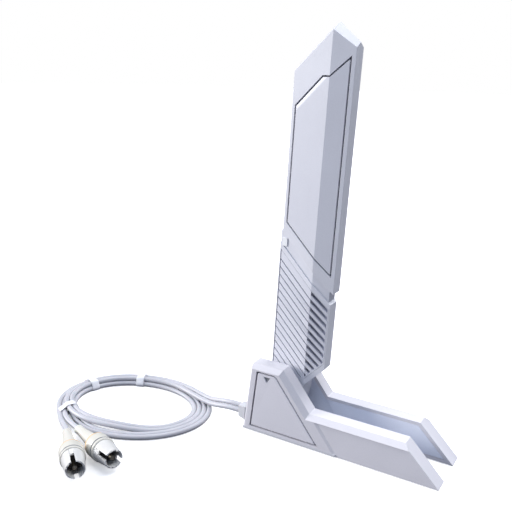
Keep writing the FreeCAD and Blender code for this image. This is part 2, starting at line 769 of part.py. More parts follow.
# --------------------------------------------------------------------------- leads inside
def smooth_path(points):
    """Straight runs joined by tangent arcs; returns the wire and its tightest radius."""
    edges, radii = [], []
    start = points[0]
    for before, corner, after in zip(points, points[1:], points[2:]):
        arriving, leaving = corner.sub(before), after.sub(corner)
        shorter = min(arriving.Length, leaving.Length)
        turn = arriving.getAngle(leaving)
        reach = 0.45 * shorter
        radii.append(reach / math.tan(turn / 2))
        arriving.normalize()
        leaving.normalize()
        enter = corner.sub(arriving * reach)
        leave = corner.add(leaving * reach)
        towards = leaving.sub(arriving).normalize()
        sagitta = radii[-1] / math.cos(turn / 2) - radii[-1]
        middle = corner.add(towards * sagitta)
        edges.append(Part.LineSegment(start, enter).toShape())
        edges.append(Part.Arc(enter, middle, leave).toShape())
        start = leave
    edges.append(Part.LineSegment(start, points[-1]).toShape())
    return Part.Wire(edges), radii


def tube(label, points, diameter):
    """A lead of round section along a route; prints its length and bend radii."""
    route = [Vector(*p) for p in points]
    path, radii = smooth_path(route)
    heading = route[1].sub(route[0])
    ring = Part.Wire(Part.makeCircle(diameter / 2, route[0], heading))
    solid = path.makePipeShell([ring], True, False)
    piece = doc.addObject("Part::Feature", label)
    piece.Shape = solid
    ideal = math.pi * diameter ** 2 / 4 * path.Length
    print(f"{label}: length {path.Length:.1f}, radii", " ".join(f"{r:.1f}" for r in radii),
          f"volume {solid.Volume / ideal:.4f} of section x length")
    return finish(label, piece)


def inner_leads():
    """From the gland up the near cheek's cavity into the hinge tube, and on inside the blade."""
    size = number("inner_lead")
    axis_x, axis_z = number("pivot_along"), number("pivot_height")
    left, right = axis_x - 0.8, axis_x + 0.8
    tube("base_lead_b", [(-52.0, -14.2, 7.6), (-46.4, -14.2, 7.6), (-39.6, -14.4, 10.5), (left, -14.4, 15.6),
                         (left, -14.4, axis_z - 0.2), (left, -5.8, axis_z - 0.2)], size)
    tube("base_lead_a", [(-52.0, -12.4, 9.8), (-46.6, -12.4, 9.8), (-38.4, -12.9, 12.4), (right, -13.0, 17.2),
                         (right, -13.0, axis_z + 0.4), (right, -6.0, axis_z + 0.4)], size)
    on_blade(tube("blade_lead_a", [(-0.9, -0.7, 4.4), (-0.9, -0.75, 11.0), (-1.5, -0.8, 20.0),
                                   (-1.6, -0.8, 29.9)], size))
    on_blade(tube("blade_lead_b", [(0.9, 0.75, 4.4), (0.9, 0.75, 12.0), (2.6, 0.75, 26.0), (4.9, 0.75, 42.0),
                                   (5.7, 0.75, 60.0), (5.8, 0.75, 78.0), (5.5, 0.75, 93.0),
                                   (5.0, 0.75, 105.9)], size))


# --------------------------------------------------------------------------- twin lead, coil, plugs
COIL_CENTRE = Vector(-126.0, -33.3, 0)
COIL_TURN = 14.0                    # the oval's long axis, degrees from X
BAND_ANGLES = (152.0, 103.0, 217.0)
LEAD_A = [(-62.1, -12.1, 10.4), (-68.9, -12.1, 10.4), (-77.4, -10.5, 8.5), (-85.0, -8.7, 6.0)]
LEAD_B = [(-62.1, -14.25, 8.2), (-68.6, -14.25, 8.2), (-76.2, -13.5, 6.8), (-83.2, -12.4, 5.2)]
TAIL_A = [(-156.0, -65.2, 1.9), (-150.4, -69.8, 1.7), (-144.6, -73.8, 2.2)]
TAIL_B = [(-155.3, -62.0, 2.2), (-150.0, -66.6, 2.6), (-143.4, -70.3, 2.6)]
TAIL_END = 7.0                      # the last stretch of a tail runs along its plug's axis
# the front of each plug's collar, its heading and its roll, degrees
PLUGS = {"a": (Vector(-107.2, -103.4, 7.75), -39.6, 8.0), "b": (Vector(-99.4, -89.0, 7.75), -23.0, 62.0)}
PLUG_RISE = 6.0                     # a plug lies on its collar, mouth up a little


def gland():
    """The moulded block at the rear that grips both cables."""
    part = new_body("cable_gland")
    add(part, "YZ_Plane", [GLAND_HOLE], "gland_face", "-52")
    wide = [("-17.1", "4.7"), ("-9.9", "4.7"), ("-9.9", "12.6"), ("-17.1", "12.6")]
    narrow = [("-16.4", "5.5"), ("-10.2", "5.5"), ("-10.2", "12.3"), ("-16.4", "12.3")]
    taper = part.newObject("PartDesign::AdditiveLoft", "gland_taper")
    taper.Profile = new_sketch(part, "YZ_Plane", "gland_face", [wide])
    taper.Sections = [new_sketch(part, "YZ_Plane", "gland_end", [narrow])]
    doc.recompute()
    finish("cable_gland", part)


def oval(label, long_radius, short_radius):
    """An elliptical disc of the coil's height, lying on the tape bands' thickness."""
    ring = doc.addObject("Part::Ellipse", f"{label}_outline")
    ring.setExpression("MajorRadius", formula(long_radius))
    ring.setExpression("MinorRadius", formula(short_radius))
    lift = Vector(0, 0, number("band_thick"))
    ring.Placement = Placement(COIL_CENTRE.add(lift), Rotation(Vector(0, 0, 1), COIL_TURN))
    disc = doc.addObject("Part::Extrusion", label)
    disc.Base = ring
    disc.DirMode = "Custom"
    disc.Dir = Vector(0, 0, 1)
    disc.setExpression("LengthFwd", formula("coil_height"))
    disc.Solid = True
    return disc


def coil():
    ring = subtract("cable_coil", oval("coil_outside", "coil_outer_long", "coil_outer_short"),
                    oval("coil_inside", "coil_inner_long", "coil_inner_short"))
    finish("cable_coil", ring)
    long_mid = (number("coil_outer_long") + number("coil_inner_long")) / 2
    short_mid = (number("coil_outer_short") + number("coil_inner_short")) / 2
    half_wide = (number("coil_outer_long") - number("coil_inner_long")) / 2 + 0.15
    bands = []
    for index, angle in enumerate(BAND_ANGLES):
        t = math.radians(angle)
        turn = Rotation(Vector(0, 0, 1), COIL_TURN)
        middle = COIL_CENTRE.add(turn.multVec(Vector(long_mid * math.cos(t), short_mid * math.sin(t), 0)))
        heading = turn.multVec(Vector(-long_mid * math.sin(t), short_mid * math.cos(t), 0))
        pose = Placement(middle, Rotation(Vector(1, 0, 0), heading))
        outer = block(f"band_{index}_outer", ("-band_length / 2", f"-{half_wide} - band_thick", "0"),
                      ("band_length / 2", f"{half_wide} + band_thick", "coil_height + 2 * band_thick"))
        inner = block(f"band_{index}_inner", ("-band_length / 2 - 1", f"-{half_wide}", "band_thick"),
                      ("band_length / 2 + 1", f"{half_wide}", "coil_height + band_thick"))
        for piece in (outer, inner):
            piece.Placement = pose.multiply(piece.Placement)
        bands.append(subtract(f"band_{index}", outer, inner))
    finish("coil_bands", group("coil_bands", bands))


def plug_pose(letter):
    front, heading, roll = PLUGS[letter]
    turn = Rotation(Vector(0, 0, 1), heading).multiply(Rotation(Vector(0, 1, 0), -PLUG_RISE))
    back = turn.multVec(Vector(-number("boot_length + collar_length"), 0, 0))
    return Placement(front.add(back), turn.multiply(Rotation(Vector(1, 0, 0), roll)))


def turned(label, profile, pose):
    """A turned piece of a plug, drawn along X and set on the plug's axis."""
    part = new_body(label)
    revolve(part, profile)
    part.Placement = pose
    return part


def plug(letter):
    pose = plug_pose(letter)
    name = f"plug_{letter}"
    collar = "boot_length + collar_length"
    mouth = f"{collar} + sleeve_length"
    finish(f"{name}_boot", turned(f"{name}_boot", [
        ("0", "0"), ("boot_length", "0"), ("boot_length", "boot_front_radius"),
        ("0", "boot_rear_radius")], pose))
    finish(f"{name}_collar", turned(f"{name}_collar", [
        ("boot_length", "0"), (collar, "0"), (collar, "collar_radius - 0.3"),
        (f"{collar} - 0.3", "collar_radius"), ("boot_length + 0.9", "collar_radius"),
        ("boot_length", "collar_radius - 0.9")], pose))
    sleeve = turned(f"{name}_sleeve", [
        (collar, "sleeve_root_radius - sleeve_wall - 0.6"), (mouth, "sleeve_mouth_radius - sleeve_wall"),
        (mouth, "sleeve_mouth_radius"), (f"{collar} + 1.1", "sleeve_root_radius + 0.2"),
        (f"{collar} + 1.1", "sleeve_root_radius - 0.6"), (collar, "sleeve_root_radius - 0.6")], pose)
    opening = [(f"{mouth} - slot_run", "-slot_cut / 2"), (f"{mouth} + 1", "-slot_cut / 2"),
               (f"{mouth} + 1", "slot_cut / 2"), (f"{mouth} - slot_run", "slot_cut / 2")]
    cut(sleeve, "XY_Plane", [opening], "-8", "8")
    finish(f"{name}_sleeve", sleeve)
    finish(f"{name}_insulator", turned(f"{name}_insulator", [
        (collar, "0"), (f"{collar} + 4", "0"), (f"{collar} + 4", "3.7"), (collar, "3.7")], pose))
    finish(f"{name}_pin", turned(f"{name}_pin", [
        (f"{collar} + 4", "0"), (f"{mouth} - 1.5", "0"), (f"{mouth} - 2", "pin_radius"),
        (f"{collar} + 4", "pin_radius")], pose))


def leads():
    size = number("cable")
    tube("lead_tube_a", LEAD_A, size)
    tube("lead_tube_b", LEAD_B, size)
    for letter, tail in (("a", TAIL_A), ("b", TAIL_B)):
        pose = plug_pose(letter)
        before = pose.multVec(Vector(-TAIL_END, 0, 0))
        tube(f"tail_tube_{letter}", [*tail, tuple(before), tuple(pose.Base)], size)
        plug(letter)


# --------------------------------------------------------------------------- build, check, write
def check(piece):
    if {"Invalid", "Error"} & set(piece.State):
        raise RuntimeError(f"{piece.Label} failed: {piece.State}")


def write():
    doc.recompute()
    for piece in doc.Objects:
        check(piece)
    for label, piece in finished.items():
        if piece.Shape.isNull() or not piece.Shape.isValid():
            raise RuntimeError(f"{label} has no valid shape")
        print(f"{label}: {len(piece.Shape.Solids)} solids, {piece.Shape.Volume:.0f} mm3")
        piece.Shape.exportStep(f"parts/{label}.step")


stand_sides()
stand_centre()
hinge()
blade()
inner_leads()
gland()
coil()
leads()
write()
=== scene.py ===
"""Looks of the folding-blade desktop antenna: leads, moulded shells, plugs, floor and light."""
import json
import math

import bmesh
import bpy
from mathutils import Matrix, Vector


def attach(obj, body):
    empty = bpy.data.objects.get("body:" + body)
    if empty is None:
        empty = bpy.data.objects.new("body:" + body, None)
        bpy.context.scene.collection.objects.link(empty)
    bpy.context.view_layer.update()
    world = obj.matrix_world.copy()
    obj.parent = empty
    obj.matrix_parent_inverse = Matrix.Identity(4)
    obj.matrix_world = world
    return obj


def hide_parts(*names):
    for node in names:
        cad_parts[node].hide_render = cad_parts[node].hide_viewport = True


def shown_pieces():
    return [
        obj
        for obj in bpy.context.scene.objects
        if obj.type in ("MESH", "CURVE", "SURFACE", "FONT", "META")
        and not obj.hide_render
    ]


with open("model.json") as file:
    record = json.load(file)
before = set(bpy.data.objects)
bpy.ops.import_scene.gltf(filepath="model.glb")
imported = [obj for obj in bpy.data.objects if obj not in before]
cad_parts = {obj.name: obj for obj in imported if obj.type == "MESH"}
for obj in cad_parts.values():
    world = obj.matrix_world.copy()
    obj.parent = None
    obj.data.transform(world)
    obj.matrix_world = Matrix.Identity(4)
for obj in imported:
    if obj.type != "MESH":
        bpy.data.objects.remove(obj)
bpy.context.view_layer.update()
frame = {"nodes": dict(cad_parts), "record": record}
MM = 0.001
NODES = frame["nodes"]


def mm(point):
    """A point given in millimetres, in metres."""
    return Vector(point) * MM


# ------------------------------------------------------------------------------------ camera
CAMERA_PLACE = mm((128.4, -328.2, 209.5))
CAMERA_YAW, CAMERA_PITCH, CAMERA_ROLL = (math.radians(a) for a in (-30.165, 16.295, 1.445))


def make_camera():
    data = bpy.data.cameras.new("camera")
    data.sensor_width = 36.0
    data.lens = 49.2
    data.clip_start, data.clip_end = 0.01, 20
    flat = math.cos(CAMERA_PITCH)
    ahead = Vector((math.sin(CAMERA_YAW) * flat, math.cos(CAMERA_YAW) * flat, -math.sin(CAMERA_PITCH)))
    level = Vector((math.cos(CAMERA_YAW), -math.sin(CAMERA_YAW), 0))
    above = level.cross(ahead)
    right = level * math.cos(CAMERA_ROLL) + above * math.sin(CAMERA_ROLL)
    up = above * math.cos(CAMERA_ROLL) - level * math.sin(CAMERA_ROLL)
    camera = bpy.data.objects.new("camera", data)
    turn = Matrix((right, up, -ahead)).transposed()
    camera.matrix_world = Matrix.Translation(CAMERA_PLACE) @ turn.to_4x4()
    bpy.context.collection.objects.link(camera)
    bpy.context.scene.camera = camera


# ------------------------------------------------------------------------------------ cords
CABLE = 3.0                     # the leads' thickness
PITCH = 3.05                    # from one strand's middle to the next
COIL_CENTRE = Vector((-126.0, -33.3, 0))
COIL_TURN = math.radians(14.0)
INNER_LONG, INNER_SHORT = 37.4, 27.4        # half the oval's length and width at the coil's inner edge
POINTS_A_TURN = 24
COIL_START, COIL_END = 62.0, 932.0          # in degrees of winding: twice round and a bit
# the routes outside the coil, in millimetres: LEADS and TAILS are as the CAD model has them, and OVER
# leads on to the top of the coil
LEADS = {
    "a": [(-62.1, -12.1, 10.4), (-68.9, -12.1, 10.4), (-77.4, -10.5, 8.5), (-85.0, -8.7, 6.0)],
    "b": [(-62.1, -14.25, 8.2), (-68.6, -14.25, 8.2), (-76.2, -13.5, 6.8), (-83.2, -12.4, 5.2)],
}
OVER = {
    "a": [(-92.6, -6.3, 4.8), (-100.5, -3.6, 4.7)],
    "b": [(-91.0, -10.6, 4.8), (-99.6, -8.1, 4.7)],
}
TAILS = {
    "a": [(-156.0, -65.2, 1.9), (-150.4, -69.8, 1.7), (-144.6, -73.8, 2.2)],
    "b": [(-155.3, -62.0, 2.2), (-150.0, -66.6, 2.6), (-143.4, -70.3, 2.6)],
}
COLLAR_FRONTS = {"a": ((-107.2, -103.4, 7.75), -39.6, 8.0), "b": ((-99.4, -89.0, 7.75), -23.0, 62.0)}
PLUG_RISE = 6.0
BOOT, COLLAR, SLEEVE = 24.0, 10.0, 12.0
TAIL_END = 7.0


def ease(value, start, end):
    """0 before start, 1 after end, and a smooth change between."""
    share = min(max((value - start) / (end - start), 0.0), 1.0)
    return share * share * (3 - 2 * share)


def lane(angle):
    """Where the inner strand of the pair lies at an angle of the winding: out from the coil's
    inner edge, and up. The pair starts on top, drops inside, and moves outside on its last turn."""
    out = 1.5 - 1.5 * ease(angle, 235, 285) + 2 * PITCH * ease(angle, 575, 625)
    up = 4.15 + 0.5 * (1 - ease(angle, 60, 95)) + 0.45 * ease(angle, 190, 210)
    return out, up - 3.1 * ease(angle, 262, 318)


def coil_points(letter):
    swell = 1 / math.cos(math.pi / POINTS_A_TURN)       # a spline passes inside its points
    beside = PITCH if letter == "a" else 0.0
    steps = round((COIL_END - COIL_START) / 360 * POINTS_A_TURN)
    points = []
    for step in range(steps + 1):
        angle = COIL_START + (COIL_END - COIL_START) * step / steps
        out, up = lane(angle)
        bearing = math.radians(angle)
        place = Vector(((INNER_LONG + out + beside) * swell * math.cos(bearing),
                        (INNER_SHORT + out + beside) * swell * math.sin(bearing), up))
        points.append(COIL_CENTRE + Matrix.Rotation(COIL_TURN, 3, "Z") @ place)
    return points


def plug_frame(letter):
    """The pose of a plug: its axis is X, and it starts at the cable's entry."""
    front, heading, roll = COLLAR_FRONTS[letter]
    turn = Matrix.Rotation(math.radians(heading), 4, "Z") @ Matrix.Rotation(math.radians(-PLUG_RISE), 4, "Y")
    back = turn @ Vector((-(BOOT + COLLAR), 0, 0))
    return (Matrix.Translation(mm(Vector(front) + back)) @ turn
            @ Matrix.Rotation(math.radians(roll), 4, "X"))


def cord_route(letter):
    pose = plug_frame(letter)
    ending = [pose @ mm((-TAIL_END, 0, 0)), pose @ Vector((0, 0, 0))]
    route = LEADS[letter] + OVER[letter] + coil_points(letter) + TAILS[letter]
    return [mm(point) for point in route] + ending


def make_cord(letter):
    points = cord_route(letter)
    curve = bpy.data.curves.new(f"cable_{letter}", "CURVE")
    curve.dimensions = "3D"
    curve.resolution_u = 6
    curve.bevel_depth = 1.0                             # times each point's radius
    curve.bevel_resolution = 5
    curve.use_fill_caps = True
    spline = curve.splines.new("NURBS")
    spline.points.add(len(points) - 1)
    for control, point in zip(spline.points, points):
        control.co = (*point, 1)
        control.radius = CABLE / 2 * MM
    spline.order_u = 3
    spline.use_endpoint_u = True
    cable = bpy.data.objects.new(f"cable_{letter}", curve)
    bpy.context.collection.objects.link(cable)
    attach(cable, "stand")
    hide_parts(f"lead_tube_{letter}", f"tail_tube_{letter}", "cable_coil")
    return cable


# ------------------------------------------------------------------------------------ materials
class Shader:
    """A node material with a Principled shader, and short ways to add nodes to it."""

    def __init__(self, name, roughness, **sockets):
        self.material = bpy.data.materials.new(name)
        self.material.use_nodes = True
        self.tree = self.material.node_tree
        self.surface = self.tree.nodes["Principled BSDF"]
        self.surface.inputs["Roughness"].default_value = roughness
        for socket, value in sockets.items():
            self.surface.inputs[socket.replace("_", " ")].default_value = value

    def node(self, kind, **settings):
        made = self.tree.nodes.new(kind)
        for key, value in settings.items():
            if hasattr(made, key):
                setattr(made, key, value)
            else:
                made.inputs[key.replace("_", " ")].default_value = value
        return made

    def link(self, source, target):
        self.tree.links.new(source, target)

    def noise(self, scale, detail=3.0, stretch=(1, 1, 1)):
        """Noise in the object's own metres; scale is in features to the metre."""
        place = self.node("ShaderNodeTexCoord")
        spread = self.node("ShaderNodeMapping")
        spread.inputs["Scale"].default_value = stretch
        pattern = self.node("ShaderNodeTexNoise", Scale=scale, Detail=detail)
        self.link(place.outputs["Object"], spread.inputs["Vector"])
        self.link(spread.outputs["Vector"], pattern.inputs["Vector"])
        return pattern.outputs["Fac"]

    def ramp(self, value, stops):
        ramp = self.node("ShaderNodeValToRGB")
        elements = ramp.color_ramp.elements
        while len(elements) < len(stops):
            elements.new(0.5)
        for element, (place, colour) in zip(elements, stops):
            element.position = place
            element.color = (*colour, 1)
        self.link(value, ramp.inputs["Fac"])
        return ramp.outputs["Color"]

    def mix(self, share, first, second, blend="MIX"):
        """Mixes two colours, each a socket or a plain colour, by a share, a socket or a number."""
        mixer = self.node("ShaderNodeMix", data_type="RGBA", blend_type=blend)
        for socket, value in ((mixer.inputs[0], share), (mixer.inputs[6], first), (mixer.inputs[7], second)):
            if isinstance(value, bpy.types.NodeSocket):
                self.link(value, socket)
            else:
                socket.default_value = value if isinstance(value, (int, float)) else (*value, 1)
        return mixer.outputs[2]

    def span(self, value, low, high):
        """A 0 to 1 value moved to another range."""
        moved = self.node("ShaderNodeMapRange")
        moved.inputs["To Min"].default_value = low
        moved.inputs["To Max"].default_value = high
        self.link(value, moved.inputs["Value"])
        return moved.outputs["Result"]

    def bump(self, height, strength, distance, below=None):
        raised = self.node("ShaderNodeBump", Strength=strength, Distance=distance)
        self.link(height, raised.inputs["Height"])
        if below is not None:
            self.link(below, raised.inputs["Normal"])
        return raised.outputs["Normal"]

    def edge(self, low, high):
        """1 along outward edges and 0 elsewhere, from how sharply the surface bends."""
        shape = self.node("ShaderNodeNewGeometry")
        moved = self.node("ShaderNodeMapRange")
        moved.inputs["From Min"].default_value = low
        moved.inputs["From Max"].default_value = high
        self.link(shape.outputs["Pointiness"], moved.inputs["Value"])
        return moved.outputs["Result"]

    def finish(self, colour=None, roughness=None, normal=None):
        for source, socket in ((colour, "Base Color"), (roughness, "Roughness"), (normal, "Normal")):
            if source is not None:
                self.link(source, self.surface.inputs[socket])
        return self.material


def tint(colour, factor):
    return tuple(min(channel * factor, 1.0) for channel in colour)


def moulded_plastic(name, colour, roughness=0.42, grain=9000, grain_depth=0.00003, mottle=0.03, coat=0.0):
    """Injection-moulded plastic: spark-eroded grain, faint cloudiness, and paler, smoother edges, the
    paleness a painted highlight where the edges catch the light.
    """
    shader = Shader(name, roughness, Coat_Weight=coat, Coat_Roughness=0.25)
    cloud = shader.noise(38, 4)
    base = shader.ramp(cloud, [(0.3, tint(colour, 1 - mottle)), (0.7, tint(colour, 1 + mottle))])
    specks = shader.ramp(shader.noise(2600, 2), [(0.35, (0.965, 0.965, 0.97)), (0.5, (1, 1, 1))])
    base = shader.mix(1.0, base, specks, "MULTIPLY")
    # painted highlight: corners where the surface bends sharply are painted paler, as if catching the light
    edge_highlight = shader.edge(0.52, 0.62)
    base = shader.mix(edge_highlight, base, tint(colour, 1.08))
    rough = shader.span(shader.noise(160, 5), roughness - 0.07, roughness + 0.09)
    fine = shader.bump(shader.noise(grain, 2), 0.35, grain_depth)
    flow = shader.bump(shader.noise(22, 2, (1, 1, 0.35)), 0.12, 0.0004, fine)
    return shader.finish(base, rough, flow)


def soft_vinyl(name, colour, roughness):
    """A cable's or boot's PVC: slightly waxy, with faint handling marks and dust."""
    shader = Shader(name, roughness, Subsurface_Weight=0.04, Subsurface_Scale=0.002)
    cloud = shader.noise(60, 4)
    base = shader.ramp(cloud, [(0.25, tint(colour, 0.95)), (0.75, tint(colour, 1.03))])
    dust = shader.ramp(shader.noise(1500, 3), [(0.6, (1, 1, 1)), (0.72, (0.93, 0.93, 0.94))])
    base = shader.mix(0.6, base, dust, "MULTIPLY")
    rough = shader.span(shader.noise(240, 4), roughness - 0.08, roughness + 0.1)
    skin = shader.bump(shader.noise(3200, 3), 0.22, 0.00005)
    waves = shader.bump(shader.noise(90, 2), 0.15, 0.0003, skin)
    return shader.finish(base, rough, waves)


def tape_film(name, colour):
    """A strip of glossy white tape with small wrinkles across it."""
    shader = Shader(name, 0.25, Coat_Weight=0.5, Coat_Roughness=0.12)
    base = shader.ramp(shader.noise(200, 3), [(0.3, tint(colour, 0.96)), (0.7, tint(colour, 1.02))])
    rough = shader.span(shader.noise(500, 4), 0.18, 0.38)
    wrinkles = shader.bump(shader.noise(700, 4, (1, 1, 2.5)), 0.4, 0.00012)
    return shader.finish(base, rough, wrinkles)


def plated_metal(name, colour, roughness):
    shader = Shader(name, roughness, Metallic=1.0)
    base = shader.ramp(shader.noise(400, 4), [(0.3, tint(colour, 0.9)), (0.7, tint(colour, 1.05))])
    rough = shader.span(shader.noise(900, 4, (1, 1, 6)), roughness - 0.08, roughness + 0.12)
    brushed = shader.bump(shader.noise(5000, 3, (0.2, 1, 1)), 0.2, 0.00002)
    return shader.finish(base, rough, brushed)


def dark_matter(name, colour, roughness):
    """Dark, matt surfaces deep inside: rubber, foam, insulators painted dark, and the painted shade of gaps,
    recesses and the sleeve's inside.
    """
    shader = Shader(name, roughness)
    base = shader.ramp(shader.noise(300, 4), [(0.3, tint(colour, 0.8)), (0.7, tint(colour, 1.15))])
    rough = shader.span(shader.noise(800, 3), roughness - 0.08, roughness + 0.08)
    pores = shader.bump(shader.noise(6000, 3), 0.3, 0.00004)
    return shader.finish(base, rough, pores)


def circuit_board(name):
    shader = Shader(name, 0.35)
    weave = shader.ramp(shader.noise(1800, 2), [(0.4, (0.03, 0.16, 0.08)), (0.6, (0.05, 0.22, 0.11))])
    copper = shader.ramp(shader.noise(90, 1, (0.2, 1, 3)), [(0.55, (0, 0, 0)), (0.58, (1, 1, 1))])
    base = shader.mix(copper, weave, (0.45, 0.30, 0.13))
    return shader.finish(base, None, shader.bump(shader.noise(1800, 2), 0.2, 0.00005))


WHITE = (0.72, 0.72, 0.765)
PANEL = (0.70, 0.70, 0.75)
IVORY = (0.63, 0.61, 0.55)
FINE_GRAIN = (7000, 0.00002)    # how many grains to the metre, and how deep they are, in metres
# each finish's maker and colour, then what the maker takes beside them
FINISHES = {
    "white_plastic": (moulded_plastic, WHITE),
    "stand_plastic": (moulded_plastic, (0.69, 0.674, 0.716)),
    "cover_plastic": (moulded_plastic, (0.715, 0.70, 0.745), 0.36, *FINE_GRAIN, 0.02, 0.15),
    # painted highlight: a near-white copy of the plastic for the front of the lower body's tab
    "tab_plastic": (moulded_plastic, (0.93, 0.93, 0.95), 0.3),
    # painted light: a paler, bluer copy of the white plastic for the inner walls between the arms, standing
    # in for bluish light in the slot
    "slot_plastic": (moulded_plastic, (0.78, 0.81, 0.91), 0.5),
    "panel_plastic": (moulded_plastic, PANEL, 0.36, *FINE_GRAIN, 0.02, 0.15),
    "rib_plastic": (moulded_plastic, PANEL, 0.45, 8000),
    "base_plastic": (moulded_plastic, (0.62, 0.62, 0.66), 0.55, 6000, 0.00005),
    # painted shade: the next three are dark colours put on recess floors, the rib inserts' grooves and the
    # floor behind the ribs' slots, standing in for the shadow there
    "gap": (dark_matter, (0.07, 0.07, 0.10), 0.8),
    "rib_shade": (dark_matter, (0.20, 0.20, 0.27), 0.7),
    "slot_shade": (dark_matter, (0.42, 0.42, 0.50), 0.6),
    "steel": (plated_metal, (0.62, 0.62, 0.64), 0.32),
    "rubber": (dark_matter, (0.07, 0.07, 0.075), 0.75),
    "washer_plastic": (moulded_plastic, (0.75, 0.75, 0.72), 0.5),
    "board": (circuit_board,),
    "foam": (dark_matter, (0.04, 0.04, 0.045), 0.9),
    "inner_lead": (dark_matter, (0.05, 0.05, 0.055), 0.4),
    "cable": (soft_vinyl, (0.50, 0.50, 0.54), 0.42),
    "gland": (soft_vinyl, (0.64, 0.64, 0.67), 0.42),
    "tape": (tape_film, (0.82, 0.82, 0.85)),
    "boot": (soft_vinyl, (0.62, 0.60, 0.55), 0.42),
    "collar": (moulded_plastic, IVORY, 0.34, *FINE_GRAIN, 0.03, 0.2),
    "collar_ring": (dark_matter, (0.74, 0.47, 0.22), 0.6),
    # painted shade: a dark grey put on the floors of the cheek covers' marks and in the plug collars' groove,
    # standing in for their shadow
    "groove": (dark_matter, (0.22, 0.23, 0.25), 0.5),
    "plug_sleeve": (moulded_plastic, (0.66, 0.65, 0.63), 0.3, 6000, 0.00001, 0.02, 0.2),
    # painted shade: near-black brown for the inside of the plugs' sleeves, where no light reaches
    "sleeve_inside": (dark_matter, (0.050, 0.040, 0.034), 0.88),
    # painted shade: the insulator and the pin are painted near-black and dark brown for the shade deep inside
    # the sleeve
    "insulator": (dark_matter, (0.028, 0.024, 0.021), 0.85),
    "plug_pin": (plated_metal, (0.26, 0.23, 0.18), 0.45),
}


def make_materials():
    return {name: maker(name, *values) for name, (maker, *values) in FINISHES.items()}


def paint(piece, *materials):
    piece.data.materials.clear()
    for material in materials:
        piece.data.materials.append(material)


# ------------------------------------------------------------------------------------ shells
SHELL_EDGE = 1.6                # how far the stand's corners are rounded, where there is room
BLADE_EDGE = 0.4
ROUND_SHARE = 0.28              # of the narrower face beside a corner
FLAT_PREFERENCE = 80            # how strongly large faces set the shading of their corners
FLAT_LIMIT = math.radians(1.0)
FACET_TURN = math.radians(3.0)
CORNER_TURN = math.radians(28.0)
FACET_AREA = 20 * MM * MM       # smaller faces that meet at a low angle are a curved surface
MERGE_DISTANCE = 0.00001
SIDEWAYS = 0.9                  # a face that looks to the near or far side has at least this much of it
STRAIGHT_SIDEWAYS = 0.999
SUNK = 0.7 * MM                 # faces this far under a shell's outer one are the floor of a recess
COVER_SUNK = 0.4 * MM           # the same for a cheek cover's small mark
SLOT_FLOOR = 3.2 * MM           # the floor behind the ribs' slots is nearer to the middle plane than this
GROOVE_SPREAD = 0.25 * MM
WALL_SHARE = 0.8                # an edge wall has at least this much of its normal in the plate's plane
SAME_WAY = 0.99                 # two walls whose normals agree this well count as one
TAB_FACE = 4.5 * MM
TAB_TOLERANCE = 0.02 * MM
TAB_ROUNDING = 0.2              # the share of the blade's rounding that its tab gets
CREASE = (Vector((0.6, 0, 0.4)), Vector((-13.4, 0, 17.3)))      # the cheek pad's front edge
CREASE_SLOPE = (1.8, 2.2)       # how far the pad's step spreads, at its foot and its head
CREASE_BESIDE = 0.7 * MM        # the step's corners lie this close to its line
ARM_FACE = 17.8 * MM
ARM_TOLERANCE = 0.05 * MM
LIP_TOP = 1.0 * MM              # the mouldings' lowest corners stay where they are


def new_piece(name, mesh, body):
    piece = bpy.data.objects.new(name, mesh)
    bpy.context.collection.objects.link(piece)
    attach(piece, body)
    return piece


def reach(edge, face):
    """How far a face runs back from one of its edges."""
    start = edge.verts[0].co
    along = (edge.verts[1].co - start).normalized()
    return max((vert.co - start - along * (vert.co - start).dot(along)).length for vert in face.verts)


def weigh_edges(mesh, widest):
    """Gives each real corner a rounding as large as its faces have room for, up to the widest."""
    work = bmesh.new()
    work.from_mesh(mesh)
    weight = work.edges.layers.float.new("bevel_weight_edge")
    for edge in work.edges:
        if len(edge.link_faces) != 2:
            continue
        turn = edge.calc_face_angle(0)
        small = min(face.calc_area() for face in edge.link_faces)
        if turn < FACET_TURN or (turn < CORNER_TURN and small < FACET_AREA):
            continue
        room = ROUND_SHARE * min(reach(edge, face) for face in edge.link_faces)
        edge[weight] = min(1.0, room / widest)
    work.to_mesh(mesh)
    work.free()


def soften(piece, edge, segments):
    """Rounds a piece's corners and lights its faces as smooth ones."""
    weigh_edges(piece.data, edge * MM)
    rounding = piece.modifiers.new("rounding", "BEVEL")
    rounding.width = edge * MM
    rounding.segments = segments
    rounding.limit_method = "WEIGHT"
    rounding.use_clamp_overlap = True
    for face in piece.data.polygons:
        face.use_smooth = True
    weights = piece.modifiers.new("weights", "WEIGHTED_NORMAL")
    weights.keep_sharp = True
    weights.weight = FLAT_PREFERENCE


def copy_node(node, name):
    """The mesh of a CAD node as a new mesh in the row's frame, its flat faces joined up."""
    source = NODES[node]
    mesh = source.data.copy()
    mesh.name = name
    mesh.transform(source.matrix_world)
    work = bmesh.new()
    work.from_mesh(mesh)
    bmesh.ops.remove_doubles(work, verts=work.verts, dist=MERGE_DISTANCE)
    bmesh.ops.dissolve_limit(work, angle_limit=FLAT_LIMIT, verts=work.verts, edges=work.edges)
    work.to_mesh(mesh)
    work.free()
    return mesh


def shade_recesses(mesh, slotted, sunk):
    """Marks the outward faces that lie under a shell's outer ones, for the painted shade. Of a slotted
    shell's straight faces only the slots' floor is marked."""
    outer = {}
    facing = []
    for face in mesh.polygons:
        if abs(face.normal.y) > SIDEWAYS:
            key = tuple(round(value, 1) for value in face.normal)
            offset = face.normal.dot(face.center)
            outer[key] = max(outer.get(key, -1), offset)
            facing.append((face, key, offset))
    for face, key, offset in facing:
        outward = face.normal.y * face.center.y > 0
        if slotted and abs(face.normal.y) > STRAIGHT_SIDEWAYS:
            face.material_index = int(abs(face.center.y) < SLOT_FLOOR and outward)
        elif offset < outer[key] - sunk and outward:
            face.material_index = 1


